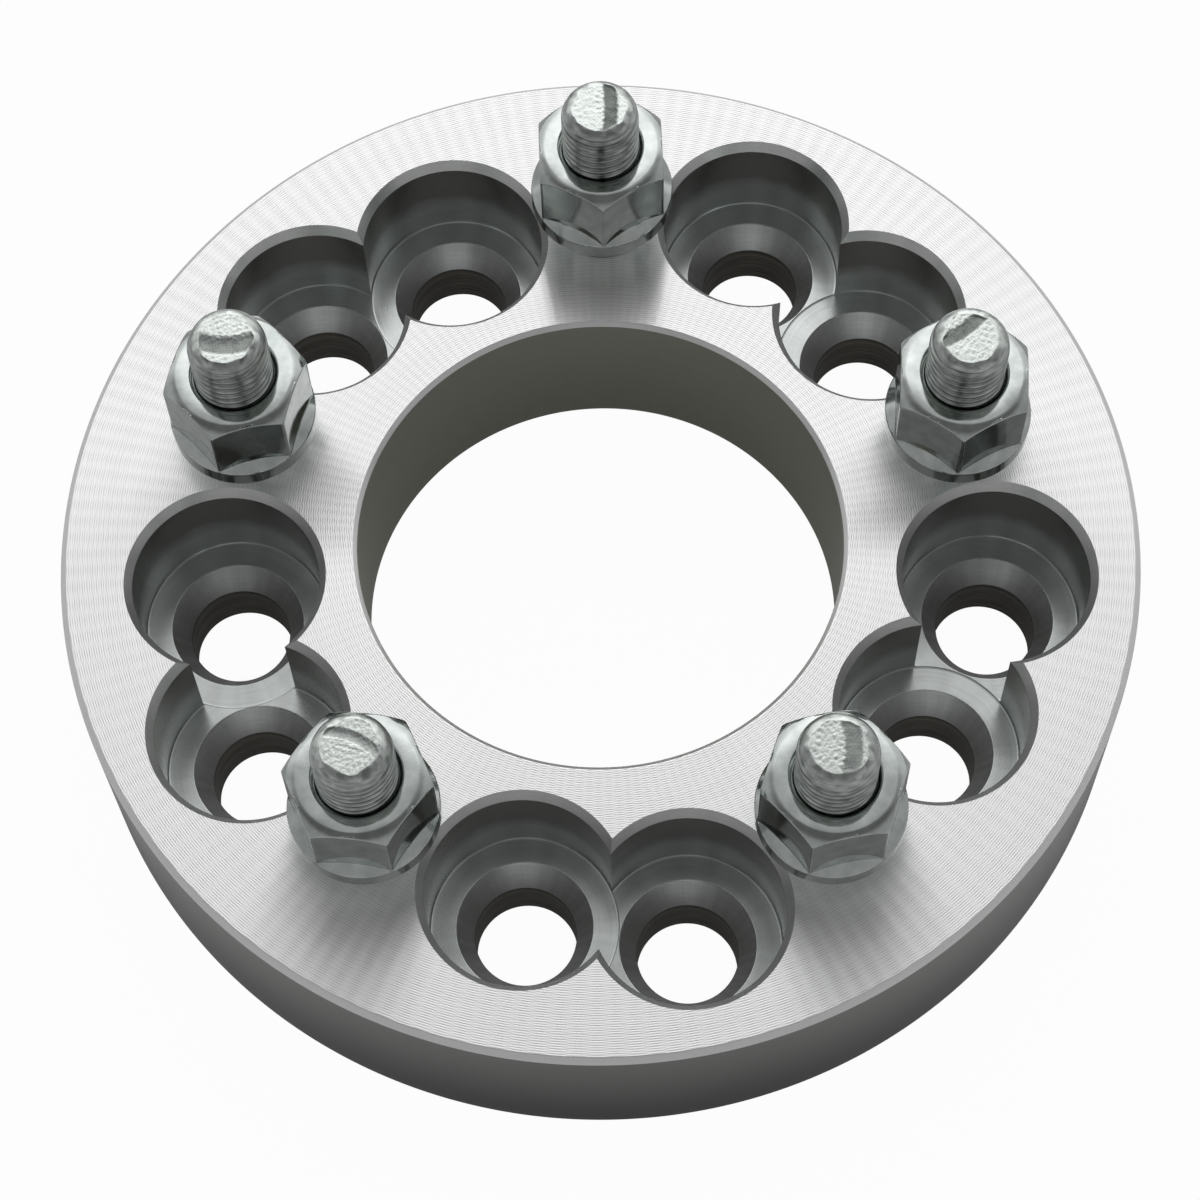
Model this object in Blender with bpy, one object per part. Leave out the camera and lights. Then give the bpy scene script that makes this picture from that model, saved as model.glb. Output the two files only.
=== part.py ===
"""A bolt-on wheel spacer: a turned aluminium plate with five pressed-in studs and their conical-seat nuts.

The plate bolts to a car's hub through ten stepped lug holes, five on each of two bolt circles, and the
wheel goes over the five studs. Lengths are in metres and angles in degrees. The origin is the centre of the
hub face, +Z points from the hub face to the wheel face, and the first stud stands on +Y.
"""

import math

import bmesh
import bpy

# Bolt circles: the studs and the first lug holes share one, and the wide lug holes lie on a larger one
COUNT = 5
BOLT_CIRCLE = 0.11430
WIDE_CIRCLE_STEP = 0.00635
FIRST_STUD_ANGLE = 90.0
LUG_HOLE_ANGLE = 24.7
WIDE_LUG_HOLE_ANGLE = 48.6

# Plate, as wide as the counterbores and the walls that are left outside and inside them
THICKNESS = 0.0305
RIM_WALL = 0.007475
RIM_WHEEL_CHAMFER = 0.0009
RIM_HUB_CHAMFER = 0.0004
BORE_WALL = 0.00595
BORE_WHEEL_CHAMFER = 0.00065
BORE_HUB_CHAMFER = 0.0020

# Lug holes: a counterbore, a conical seat for the hub's own nut, and a hole for the hub's stud
COUNTERBORE_DIAMETER = 0.0284
COUNTERBORE_CHAMFER_WIDTH = 0.0011
COUNTERBORE_CHAMFER_DEPTH = 0.0015
COUNTERBORE_DEPTH = 0.0175
WIDE_COUNTERBORE_DEPTH = 0.0173
SEAT_DIAMETER = 0.0205
SEAT_HALF_ANGLE = 30.0
LUG_HOLE_DIAMETER = 0.0153
LUG_HOLE_CHAMFER = 0.0003

# Studs, pressed in from the hub side
STUD_DIAMETER = 0.0118
STUD_PROTRUSION = 0.0312
STUD_TIP_DIAMETER = 0.0085
STUD_TIP_HEIGHT = 0.0029
STUD_TIP_ARC = 60.0
KNURL_DIAMETER = 0.0129
KNURL_TOOTH = 0.0003
KNURL_LENGTH = 0.0080
HEAD_DIAMETER = 0.0190
HEAD_THICKNESS = 0.0050
HEAD_CHAMFER = 0.0006
HEAD_RECESS = 0.0012
HEAD_CLEARANCE = 0.0010

# Nuts: a hexagon over a round bulge that ends in a cone, and how far each one is screwed round
NUT_HEIGHT = 0.0205
NUT_ACROSS_FLATS = 0.0190
NUT_FACE_DIAMETER = 0.0172
NUT_FACE_CHAMFER_ANGLE = 30.0
NUT_THREAD_CLEARANCE = 0.0003
NUT_COUNTERSINK = 0.0006
BULGE_DIAMETER = 0.0222
BULGE_BOTTOM = 0.0050
BULGE_TOP = 0.0083
BULGE_EDGE = 0.0005
BULGE_TOP_HALF_ANGLE = 45.0
NUT_CONE_HALF_ANGLE = 30.0
NUT_TURNS = (32.3, 14.4, 54.0, 11.9, 27.6)

# Gap between pieces that touch
SEAT_GAP = 0.0003

# How far a cutter runs past the face that it cuts through
OVERSHOOT = 0.0020

# Facets round each shape
RIM_STEPS = 120
BORE_STEPS = 90
COUNTERBORE_STEPS = 32
STUD_BORE_STEPS = 20
STUD_STEPS = 24
STUD_TIP_STEPS = 3
HEXAGON_SIDES = 6
BULGE_STEPS = 24
NUT_BORE_STEPS = 20
SMOOTH_ANGLE = math.radians(30)


def clear_scene():
    for thing in list(bpy.data.objects):
        bpy.data.objects.remove(thing, do_unlink=True)


def metal(name, colour, roughness):
    made = bpy.data.materials.new(name)
    made.use_nodes = True
    shader = made.node_tree.nodes["Principled BSDF"]
    shader.inputs["Base Color"].default_value = (*colour, 1.0)
    shader.inputs["Roughness"].default_value = roughness
    shader.inputs["Metallic"].default_value = 1.0
    return made


def cone_height(width, half_angle):
    """Height over which a cone of this half angle narrows by width in radius."""
    return width / math.tan(math.radians(half_angle))


def ring(shape, radius, height, steps, tooth=0.0):
    """Points round Z at this radius and height, every other one set back by the tooth."""
    points = []
    for step in range(steps):
        angle = math.tau * step / steps
        reach = radius - tooth * (step % 2)
        points.append(shape.verts.new((reach * math.cos(angle), reach * math.sin(angle), height)))
    return points


def turned(name, outline, steps):
    """Closed mesh through rings of (radius, height) or (radius, height, tooth), given from the bottom up."""
    shape = bmesh.new()
    rings = [ring(shape, level[0], level[1], steps, *level[2:]) for level in outline]
    for low, high in zip(rings, rings[1:]):
        for step in range(steps):
            after = (step + 1) % steps
            shape.faces.new((low[step], low[after], high[after], high[step]))
    shape.faces.new(reversed(rings[0]))
    shape.faces.new(rings[-1])
    mesh = bpy.data.meshes.new(name)
    shape.to_mesh(mesh)
    shape.free()
    return mesh


def place(name, mesh, location=(0.0, 0.0, 0.0), angle=0.0):
    thing = bpy.data.objects.new(name, mesh)
    thing.location = location
    thing.rotation_euler = (0.0, 0.0, math.radians(angle))
    bpy.context.scene.collection.objects.link(thing)
    return thing


def combine(thing, operation, name, mesh, location=(0.0, 0.0, 0.0), angle=0.0):
    """Boolean of the thing with a hidden helper object that holds this mesh."""
    helper = place(name, mesh, location, angle)
    helper.hide_render = True
    helper.display_type = "WIRE"
    step = thing.modifiers.new(name, "BOOLEAN")
    step.operation = operation
    step.object = helper


def finish(mesh, material):
    mesh.shade_smooth()
    mesh.set_sharp_from_angle(angle=SMOOTH_ANGLE)
    mesh.materials.append(material)


def stations(circle, first_angle):
    """(number, angle, x, y) of each of the evenly spaced places on a bolt circle."""
    for index in range(COUNT):
        angle = first_angle + 360 / COUNT * index
        turn = math.radians(angle)
        yield index + 1, angle, circle / 2 * math.cos(turn), circle / 2 * math.sin(turn)


def rim_radius():
    return (BOLT_CIRCLE + WIDE_CIRCLE_STEP + COUNTERBORE_DIAMETER) / 2 + RIM_WALL


def bore_radius():
    return (BOLT_CIRCLE - COUNTERBORE_DIAMETER) / 2 - BORE_WALL


def plate_outline():
    rim = rim_radius()
    return [
        (rim - RIM_HUB_CHAMFER, 0.0),
        (rim, RIM_HUB_CHAMFER),
        (rim, THICKNESS - RIM_WHEEL_CHAMFER),
        (rim - RIM_WHEEL_CHAMFER, THICKNESS),
    ]


def centre_bore_outline():
    bore = bore_radius()
    return [
        (bore + BORE_HUB_CHAMFER + OVERSHOOT, -OVERSHOOT),
        (bore, BORE_HUB_CHAMFER),
        (bore, THICKNESS - BORE_WHEEL_CHAMFER),
        (bore + BORE_WHEEL_CHAMFER + OVERSHOOT, THICKNESS + OVERSHOOT),
    ]


def lug_hole_outline(depth):
    """Chamfered hole from the hub face, conical seat, flat counterbore floor, wall and its chamfer."""
    hole = LUG_HOLE_DIAMETER / 2
    seat = SEAT_DIAMETER / 2
    wall = COUNTERBORE_DIAMETER / 2
    floor = THICKNESS - depth
    chamfer_slope = COUNTERBORE_CHAMFER_WIDTH / COUNTERBORE_CHAMFER_DEPTH
    return [
        (hole + LUG_HOLE_CHAMFER + OVERSHOOT, -OVERSHOOT),
        (hole, LUG_HOLE_CHAMFER),
        (hole, floor - cone_height(seat - hole, SEAT_HALF_ANGLE)),
        (seat, floor),
        (wall, floor),
        (wall, THICKNESS - COUNTERBORE_CHAMFER_DEPTH),
        (wall + COUNTERBORE_CHAMFER_WIDTH + OVERSHOOT * chamfer_slope, THICKNESS + OVERSHOOT),
    ]


def head_top():
    return HEAD_RECESS + HEAD_THICKNESS


def stud_hole_outline():
    """Round recess in the hub face for the stud's head, and the bore that its knurl is pressed into."""
    recess = HEAD_DIAMETER / 2 + HEAD_CLEARANCE
    bore = KNURL_DIAMETER / 2 + SEAT_GAP
    return [
        (recess, -OVERSHOOT),
        (recess, head_top() + SEAT_GAP),
        (bore, head_top() + SEAT_GAP),
        (bore, THICKNESS + OVERSHOOT),
    ]


def make_plate(material):
    mesh = turned("spacer_plate", plate_outline(), RIM_STEPS)
    finish(mesh, material)
    plate = place("spacer_plate", mesh)
    combine(plate, "DIFFERENCE", "centre_bore", turned("centre_bore", centre_bore_outline(), BORE_STEPS))
    patterns = (
        ("lug_hole", BOLT_CIRCLE, LUG_HOLE_ANGLE, lug_hole_outline(COUNTERBORE_DEPTH), COUNTERBORE_STEPS),
        ("wide_lug_hole", BOLT_CIRCLE + WIDE_CIRCLE_STEP, WIDE_LUG_HOLE_ANGLE,
         lug_hole_outline(WIDE_COUNTERBORE_DEPTH), COUNTERBORE_STEPS),
        ("stud_hole", BOLT_CIRCLE, 0.0, stud_hole_outline(), STUD_BORE_STEPS),
    )
    for name, circle, angle_from_stud, outline, steps in patterns:
        hole = turned(name, outline, steps)
        for number, angle, x, y in stations(circle, FIRST_STUD_ANGLE + angle_from_stud):
            combine(plate, "DIFFERENCE", f"{name}_{number}", hole, (x, y, 0.0), angle)


def stud_tip_outline():
    """Rounded taper of the stud's end, as part of an ellipse from the thread to the flat tip."""
    thread = STUD_DIAMETER / 2
    tip = STUD_TIP_DIAMETER / 2
    end = math.radians(STUD_TIP_ARC)
    start_height = THICKNESS + STUD_PROTRUSION - STUD_TIP_HEIGHT
    outline = []
    for step in range(STUD_TIP_STEPS + 1):
        turn = end * step / STUD_TIP_STEPS
        share = (math.cos(turn) - math.cos(end)) / (1 - math.cos(end))
        rise = STUD_TIP_HEIGHT * math.sin(turn) / math.sin(end)
        outline.append((tip + (thread - tip) * share, start_height + rise))
    return outline


def stud_outline():
    """Round head, knurl whose teeth are every other point, threaded shank and its tapered tip."""
    head = HEAD_DIAMETER / 2
    knurl = KNURL_DIAMETER / 2
    thread = STUD_DIAMETER / 2
    knurl_top = head_top() + KNURL_LENGTH
    return [
        (head - HEAD_CHAMFER, HEAD_RECESS),
        (head, HEAD_RECESS + HEAD_CHAMFER),
        (head, head_top()),
        (knurl, head_top(), KNURL_TOOTH),
        (knurl, knurl_top, KNURL_TOOTH),
        (thread, knurl_top + knurl - thread),
    ] + stud_tip_outline()


def make_studs(material):
    mesh = turned("wheel_stud", stud_outline(), STUD_STEPS)
    finish(mesh, material)
    for number, angle, x, y in stations(BOLT_CIRCLE, FIRST_STUD_ANGLE):
        place(f"wheel_stud_{number}", mesh, (x, y, 0.0), angle)


def bulge_outline():
    """Cone that seats in the wheel, round bulge, and the cone that runs from it up into the hexagon."""
    bulge = BULGE_DIAMETER / 2
    cone_top = bulge - BULGE_EDGE
    cone_bottom = cone_top - (BULGE_BOTTOM - SEAT_GAP) * math.tan(math.radians(NUT_CONE_HALF_ANGLE))
    inside = NUT_FACE_DIAMETER / 2
    return [
        (cone_bottom, SEAT_GAP),
        (cone_top, BULGE_BOTTOM),
        (bulge, BULGE_BOTTOM + BULGE_EDGE),
        (bulge, BULGE_TOP),
        (inside, BULGE_TOP + cone_height(bulge - inside, BULGE_TOP_HALF_ANGLE)),
    ]


def nut_chamfer_outline():
    """Turned shape that takes the upper corners off the hexagon."""
    face = NUT_FACE_DIAMETER / 2
    reach = NUT_ACROSS_FLATS
    return [
        (reach, BULGE_BOTTOM),
        (reach, NUT_HEIGHT - (reach - face) * math.tan(math.radians(NUT_FACE_CHAMFER_ANGLE))),
        (face, NUT_HEIGHT),
    ]


def nut_bore_outline():
    """Thread bore right through the nut, countersunk at both ends."""
    bore = STUD_DIAMETER / 2 + NUT_THREAD_CLEARANCE
    return [
        (bore + NUT_COUNTERSINK + OVERSHOOT, SEAT_GAP - OVERSHOOT),
        (bore, SEAT_GAP + NUT_COUNTERSINK),
        (bore, NUT_HEIGHT - NUT_COUNTERSINK),
        (bore + NUT_COUNTERSINK + OVERSHOOT, NUT_HEIGHT + OVERSHOOT),
    ]


def hexagon_outline():
    """Hexagonal bar from inside the bulge to above the nut's end face, whose chamfer cuts it to length."""
    corner = NUT_ACROSS_FLATS / 2 / math.cos(math.pi / HEXAGON_SIDES)
    return [
        (corner, (BULGE_BOTTOM + BULGE_TOP) / 2),
        (corner, NUT_HEIGHT + OVERSHOOT),
    ]


def make_nuts(material):
    hexagon = turned("lug_nut", hexagon_outline(), HEXAGON_SIDES)
    finish(hexagon, material)
    chamfer = turned("nut_chamfer", nut_chamfer_outline(), BULGE_STEPS)
    bulge = turned("nut_bulge", bulge_outline(), BULGE_STEPS)
    bore = turned("nut_bore", nut_bore_outline(), NUT_BORE_STEPS)
    for number, _, x, y in stations(BOLT_CIRCLE, FIRST_STUD_ANGLE):
        turn = NUT_TURNS[(number - 1) % len(NUT_TURNS)]
        seat = (x, y, THICKNESS)
        nut = place(f"lug_nut_{number}", hexagon, seat, turn)
        combine(nut, "INTERSECT", f"nut_chamfer_{number}", chamfer, seat, turn)
        combine(nut, "UNION", f"nut_bulge_{number}", bulge, seat, turn)
        combine(nut, "DIFFERENCE", f"nut_bore_{number}", bore, seat, turn)


clear_scene()
make_plate(metal("turned_aluminium", (0.78, 0.79, 0.80), 0.30))
make_studs(metal("stud_steel", (0.50, 0.52, 0.51), 0.35))
make_nuts(metal("zinc_plated_steel", (0.66, 0.70, 0.69), 0.22))
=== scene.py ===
"""The looks of a bolt-on wheel spacer: a turned aluminium plate, its threaded studs and their plated nuts.

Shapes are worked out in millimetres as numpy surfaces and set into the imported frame. Its origin is the
centre of the hub face, with +Z from the hub face to the wheel face.
"""

import math

import bmesh
import bpy
import numpy as np
from mathutils import Matrix, Vector


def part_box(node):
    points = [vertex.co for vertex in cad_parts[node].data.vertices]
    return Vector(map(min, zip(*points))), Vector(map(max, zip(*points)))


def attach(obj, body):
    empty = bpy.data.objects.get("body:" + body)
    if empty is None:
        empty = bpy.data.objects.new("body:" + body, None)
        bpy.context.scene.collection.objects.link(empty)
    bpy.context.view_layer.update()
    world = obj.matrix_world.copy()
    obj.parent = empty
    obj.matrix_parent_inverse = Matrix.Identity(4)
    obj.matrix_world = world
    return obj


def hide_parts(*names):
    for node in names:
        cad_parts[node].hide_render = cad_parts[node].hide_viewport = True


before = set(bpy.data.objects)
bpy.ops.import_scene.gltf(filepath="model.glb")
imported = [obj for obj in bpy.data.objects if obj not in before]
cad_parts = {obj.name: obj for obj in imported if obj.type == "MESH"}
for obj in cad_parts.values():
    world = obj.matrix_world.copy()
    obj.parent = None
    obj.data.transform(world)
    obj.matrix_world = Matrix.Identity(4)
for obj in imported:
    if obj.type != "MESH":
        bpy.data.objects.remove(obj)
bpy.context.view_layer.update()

MM = 0.001

# Plate, in millimetres; its rim, thickness and stud circle come from the frame
COUNT = 5
PLATE_LOW, PLATE_HIGH = [Vector(corner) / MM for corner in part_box("spacer_plate")]
RIM_RADIUS = PLATE_HIGH.x
THICKNESS = PLATE_HIGH.z
RIM_WHEEL_CHAMFER = 0.9
RIM_HUB_CHAMFER = 0.4
BORE_RADIUS = 37.0
BORE_WHEEL_CHAMFER = 0.65
BORE_HUB_CHAMFER = 2.0
STUD_LOW, STUD_HIGH = [Vector(corner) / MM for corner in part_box("wheel_stud_1")]
STUD_CIRCLE_RADIUS = (STUD_LOW.y + STUD_HIGH.y) / 2
WIDE_CIRCLE_RADIUS = STUD_CIRCLE_RADIUS + 3.175
FIRST_STUD_ANGLE = 90.0
LUG_HOLE_ANGLE = 24.7
WIDE_LUG_HOLE_ANGLE = 48.6
COUNTERBORE_RADIUS = 14.2
COUNTERBORE_CHAMFER_WIDTH = 1.1
COUNTERBORE_CHAMFER_DEPTH = 1.5
COUNTERBORE_DEPTH = 17.5
WIDE_COUNTERBORE_DEPTH = 17.3
COUNTERBORE_CORNER = 0.35
SEAT_RADIUS = 10.25
SEAT_HALF_ANGLE = 30.0
LUG_HOLE_RADIUS = 7.65
LUG_HOLE_CHAMFER = 0.3
EDGE_BREAK = 0.05

# Fineness of the surfaces: steps round each turned shape and along each rounded edge, the guard beyond it,
# the angles at which smooth shading breaks, and the least height of a level face's normal
PLATE_COLUMNS = 360
LUG_HOLE_COLUMNS = 96
STUD_HOLE_COLUMNS = 64
STUD_COLUMNS = 160
PLATE_ARC_STEPS = 2
ARC_STEPS = 3
ARC_GUARD = 0.08
SMOOTH_ANGLE = math.radians(30)
STUD_SMOOTH_ANGLE = math.radians(50)
LEVEL_NORMAL = 0.99999

# How far a hole's cutter reaches past the plate, and a turn in radians that keeps their points apart
OVERSHOOT = 2.0
CUTTER_TURN = 0.01

# A stretch of the plate's section is level, or upright, when it runs this many times further that way
CHAMFER_LIMIT = 9

# Studs
THREAD_RADIUS = 5.9
THREAD_PITCH = 1.5
THREAD_DEPTH = 0.5
THREAD_ROWS = 12
THREAD_FLANK = (0.25, 0.6)
THREAD_RUN_IN = 0.6
THREAD_TIP_GAP = 0.02
STUD_TIP_RADIUS = 4.25
STUD_TIP_HEIGHT = 2.9
STUD_TIP_ARC = 60.0
KNURL_RADIUS = 6.45
KNURL_TOOTH = 0.3
KNURL_TEETH = 40
KNURL_LENGTH = 8.0
HEAD_RADIUS = 9.5
HEAD_THICKNESS = 5.0
HEAD_CHAMFER = 0.6
HEAD_EDGE = 0.1
HEAD_NECK = 0.2
HEAD_RECESS = STUD_LOW.z
HEAD_CLEARANCE = 1.0
SEAT_GAP = 0.3

# Ends of the studs: direction of the struck band in degrees, its offset, half width, bow and depth, and the
# tones of the band and of the grain beside it
END_BANDS = (
    (90, -1.75, 1.25, 0.02, 0.08, 0.06, 0.74),
    (0, -1.3, 1.7, 0.05, 0.15, 0.16, 0.76),
    (-25, 1.4, 0.9, -0.05, 0.12, 0.3, 0.74),
    (90, -2.0, 1.5, 0.04, 0.05, 0.2, 0.68),
    (38, 1.5, 1.3, 0.03, 0.1, 0.1, 0.72),
)

# Grain of the ends: its waves, the finer speckle of its tone, how far it moves the band's edge, and the
# width of the border where it fades out
END_GRAIN_LENGTHS = (0.22, 1.1)
END_GRAIN_WAVES = 60
END_GRAIN_SLOPE = 0.0021
END_SPECKLE_LENGTHS = (0.25, 0.5)
END_SPECKLE_SHARE = 0.05
END_EDGE_WANDER = 8.0
END_FADE = 0.4
END_RINGS = 60

# Ragged edge of the ends: how far it falls short, over what height, and the waves that shape it
END_RAGGED = 0.45
END_RAGGED_HEIGHT = 0.7
END_RAGGED_LENGTHS = (0.8, 5.0)
END_RAGGED_WAVES = 20
END_RAGGED_RANGE = 25

# Crevices of the grain: how dark, their least and full depth in spreads of the grain, and how much darker
# they are at the edge and over what width
END_CREVICE_SHARE = 0.2
END_CREVICE = (0.4, 1.5)
END_CREVICE_AT_EDGE = (1.6, 1.2)

# Struck band: how sharp its edge is, and how much it flattens the grain and calms the speckle
END_BAND_EDGE = 1.6
END_BAND_POLISH = 0.85
END_BAND_CALM = 0.5

# Tones of the threads, and of the bright edge that spills over from the end
TONE_THREAD = 0.47
THREAD_STREAK_LENGTHS = (0.3, 1.0)
THREAD_STREAK_WAVES = 24
THREAD_STREAK_STRETCH = 3.0
THREAD_STREAK_SHARE = 0.13
THREAD_STREAK_RANGE = 5.0
SPILL_HEIGHT = 0.45
SPILL_MIDDLE = 0.6
SPILL_LENGTHS = (0.8, 4.0)
SPILL_RANGE = 12
SPILL_EDGE = 0.12

# Painted reflection on the threads, as dark columns for the dim room on the camera's side: direction and
# half width in degrees, and how dark; how far below the tip they start, and how the streaks break them up
PAINTED_THREAD_REFLECTIONS = {
    1: ((234, 6, 0.26), (272, 8, 0.42)),
    2: ((247, 6, 0.3), (290, 7, 0.3)),
    5: ((259, 8, 0.38),),
}
PAINTED_REFLECTION_START = 0.8
PAINTED_REFLECTION_BREAKS = (0.8, 1.6)

# Nuts
NUT_LOW, NUT_HIGH = [Vector(corner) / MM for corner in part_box("lug_nut_1")]
NUT_HEIGHT = NUT_HIGH.z - THICKNESS
NUT_HALF_FLATS = 9.5
NUT_CORNER_ROUND = 0.35
NUT_FACE_RADIUS = 8.6
NUT_FACE_FALL = (0.15, 0.26)
NUT_MOUTH_RADIUS = 6.65
NUT_BORE_RADIUS = 6.0
NUT_BORE_CHAMFER = 0.6
BULGE_RADIUS = 11.1
BULGE_BOTTOM = 5.0
BULGE_TOP = 8.3
BULGE_EDGE = 0.5
BULGE_ROUND = 0.2
HEXAGON_EDGE = 0.15
NUT_EDGE = 0.1
NUT_CONE_SLOPE = math.tan(math.radians(30))
NUT_TURNS = (32.3, 14.4, 54.0, 11.9, 27.6)
NUT_CORNER_REACH = 3.2
NUT_FLAT_START = 1.3
NUT_CORNER_COLUMNS = 7
NUT_FLAT_COLUMNS = 12
NUT_FACE_SHARES = (1.0, 0.8, 0.6, 0.4, 0.2, 0.0)

# Camera, as fitted to the photo, relative to the centre of the wheel face
CAMERA_TURN = 0.83
CAMERA_ELEVATION = 64.68
CAMERA_ROLL = -0.80
CAMERA_OFFSET = (5.07, 1.05, 493.98)
CAMERA_LENS = 97.515
CAMERA_SENSOR = 36.0
CAMERA_SHIFT = (-0.0280, -0.0577)

# Marks of a lathe tool: threads of the two crossing spirals that its chatter leaves, the shares of the
# rings and of each spiral, and the noise of their drift
SPIRAL_THREADS = 90
RING_SHARE = 0.14
SPIRAL_SHARE = 0.43
SWEEP_REACH = 2.5
DRIFT_DETAIL = 3.0
DRIFT_ROUGHNESS = 0.6

# Skin of the plated steel: how much the clouds move the tone, and how far they stand over the grain
CLOUD_TONE = 0.3
CLOUD_RELIEF = 4.0

# Stage
FLOOR_SIZE = 8.0
FLOOR_COLOUR = (0.8, 0.8, 0.8)
FLOOR_GLOW = 0.97
FLOOR_GLOW_IN_METAL = 0.05
FLOOR_DROP = 0.02
TENT_EDGE = (0.32, 0.51)
TENT_SKIRT = (-0.15, 0.3)
TENT_SKIRT_SHARE = 0.3
TENT_LEVEL = 1.52
TENT_LOW = (0.1, 0.5)
TENT_HORIZON = 0.95
TENT_SIDE = (0.1, 0.7)
TENT_SIDE_LEVEL = 0.55
ROOM_LOW = (0.35, 0.75)
ROOM_HORIZON = 0.38
ROOM_ABOVE = 0.15
HORIZON = (-0.1, 0.0)
LIGHT_BELOW = 0.4

# Numbers of the plate's finishes
(FINISH_FACE, FINISH_RIM, FINISH_BORE, FINISH_CHAMFER,
 FINISH_HOLE_EDGE, FINISH_COUNTERBORE, FINISH_SEAT, FINISH_DRILLED) = range(8)


def stations(radius, angle_from_stud):
    """(number, angle in radians, centre) of the places spaced evenly on a circle, in millimetres."""
    for index in range(COUNT):
        angle = math.radians(FIRST_STUD_ANGLE + angle_from_stud + 360 / COUNT * index)
        yield index + 1, angle, np.array([radius * math.cos(angle), radius * math.sin(angle), 0.0])


# Surfaces


def rounded(corners, cuts, closed, arc_steps=ARC_STEPS):
    """Path along corners of shape (n, ..., 2), each corner cut back by its own length and rounded.

    With the corner C and the points A and B at the cut's length along its two sides, the rounding is the
    parabola (1-t)^2 A + 2t(1-t) C + t^2 B. A guard point beyond A and B keeps the sides flat when shaded
    smooth.
    """
    count = len(corners)
    path = []
    for index, (corner, cut) in enumerate(zip(corners, cuts)):
        is_end = not closed and index in (0, count - 1)
        if is_end or not cut:
            path.append(corner)
            continue
        sides = []
        for neighbour in (corners[index - 1], corners[(index + 1) % count]):
            side = neighbour - corner
            sides.append(side / np.linalg.norm(side, axis=-1, keepdims=True))
        start, end = corner + sides[0] * cut, corner + sides[1] * cut
        path.append(corner + sides[0] * (cut + ARC_GUARD))
        for t in np.linspace(0, 1, arc_steps + 1):
            path.append((1 - t) ** 2 * start + 2 * t * (1 - t) * corner + t ** 2 * end)
        path.append(corner + sides[1] * (cut + ARC_GUARD))
    return np.array(path)


def travel(path, closed):
    """Distance along a path of shape (n, ..., 2), averaged over its other axes, with its closing step."""
    ring = np.concatenate([path, path[:1]]) if closed else path
    steps = np.linalg.norm(np.diff(ring, axis=0), axis=-1)
    steps = steps.reshape(len(steps), -1).mean(axis=1)
    return np.concatenate([[0.0], np.cumsum(steps)])


def surface_of_turning(name, path, angles, closed, centre=(0.0, 0.0, 0.0), finishes=None):
    """Mesh of a path of (radius, height) carried round an upright axis.

    The point at row i and angle a is centre + (r cos a, r sin a, z), where (r, z) is path[i] or path[i, a].
    The UV map "lay" holds the distance along the path in millimetres and the share of a turn. An open path
    ends on the axis, where a row of points is merged into a pole. finishes is the material number of each
    row of faces.
    """
    path = np.asarray(path, float)
    if path.ndim == 2:
        path = np.repeat(path[:, None], len(angles), axis=1)
    rows, turns = path.shape[:2]
    radius, height = path[..., 0], path[..., 1]
    points = np.stack([radius * np.cos(angles), radius * np.sin(angles), height], axis=-1)
    points = (points + np.asarray(centre)) * MM
    row = np.arange(rows if closed else rows - 1)
    after_row = (row + 1) % rows
    column = np.arange(turns)
    after_column = (column + 1) % turns
    corners = [(row, column), (row, after_column), (after_row, after_column), (after_row, column)]
    faces = np.stack([(r[:, None] * turns + c[None]).ravel() for r, c in corners], axis=1)
    along = travel(path, closed)
    around = np.append(angles, angles[0] + math.tau) / math.tau
    places = [(row, column), (row, column + 1), (row + 1, column + 1), (row + 1, column)]
    lay = [np.stack(np.broadcast_arrays(along[r][:, None], around[c][None]), axis=-1).reshape(-1, 2)
           for r, c in places]
    mesh = bpy.data.meshes.new(name)
    mesh.from_pydata(points.reshape(-1, 3).tolist(), [], faces.tolist())
    mesh.uv_layers.new(name="lay")
    mesh.uv_layers["lay"].data.foreach_set("uv", np.stack(lay, axis=1).astype(np.float32).ravel())
    if finishes is not None:
        mesh.polygons.foreach_set("material_index", np.repeat(finishes, turns).astype(np.int32))
    return mesh


def even_angles(steps):
    return np.arange(steps) * (math.tau / steps)


def clean(mesh):
    """Merges the doubled points at poles, drops faces without area and turns every face outwards."""
    shape = bmesh.new()
    shape.from_mesh(mesh)
    bmesh.ops.remove_doubles(shape, verts=shape.verts, dist=1e-7)
    bmesh.ops.dissolve_degenerate(shape, edges=shape.edges, dist=1e-8)
    bmesh.ops.recalc_face_normals(shape, faces=shape.faces)
    shape.to_mesh(mesh)
    shape.free()


def add_object(name, mesh):
    thing = bpy.data.objects.new(name, mesh)
    bpy.context.scene.collection.objects.link(thing)
    return thing


def shade(mesh):
    """Smooth shading with sharp creases. Level faces are flat, so that their neighbours don't bend them."""
    normals = np.empty(len(mesh.polygons) * 3, np.float32)
    mesh.polygons.foreach_get("normal", normals)
    level = np.abs(normals.reshape(-1, 3)[:, 2]) > LEVEL_NORMAL
    mesh.polygons.foreach_set("use_smooth", ~level)
    mesh.set_sharp_from_angle(angle=SMOOTH_ANGLE)


# Plate


def plate_path():
    """Closed section of the ring: hub face, rim, wheel face and centre bore, with its chamfers."""
    corners = np.array([
        (RIM_RADIUS - RIM_HUB_CHAMFER, 0.0),
        (RIM_RADIUS, RIM_HUB_CHAMFER),
        (RIM_RADIUS, THICKNESS - RIM_WHEEL_CHAMFER),
        (RIM_RADIUS - RIM_WHEEL_CHAMFER, THICKNESS),
        (BORE_RADIUS + BORE_WHEEL_CHAMFER, THICKNESS),
        (BORE_RADIUS, THICKNESS - BORE_WHEEL_CHAMFER),
        (BORE_RADIUS, BORE_HUB_CHAMFER),
        (BORE_RADIUS + BORE_HUB_CHAMFER, 0.0),
    ])
    return rounded(corners, [EDGE_BREAK] * len(corners), closed=True, arc_steps=PLATE_ARC_STEPS)


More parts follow.
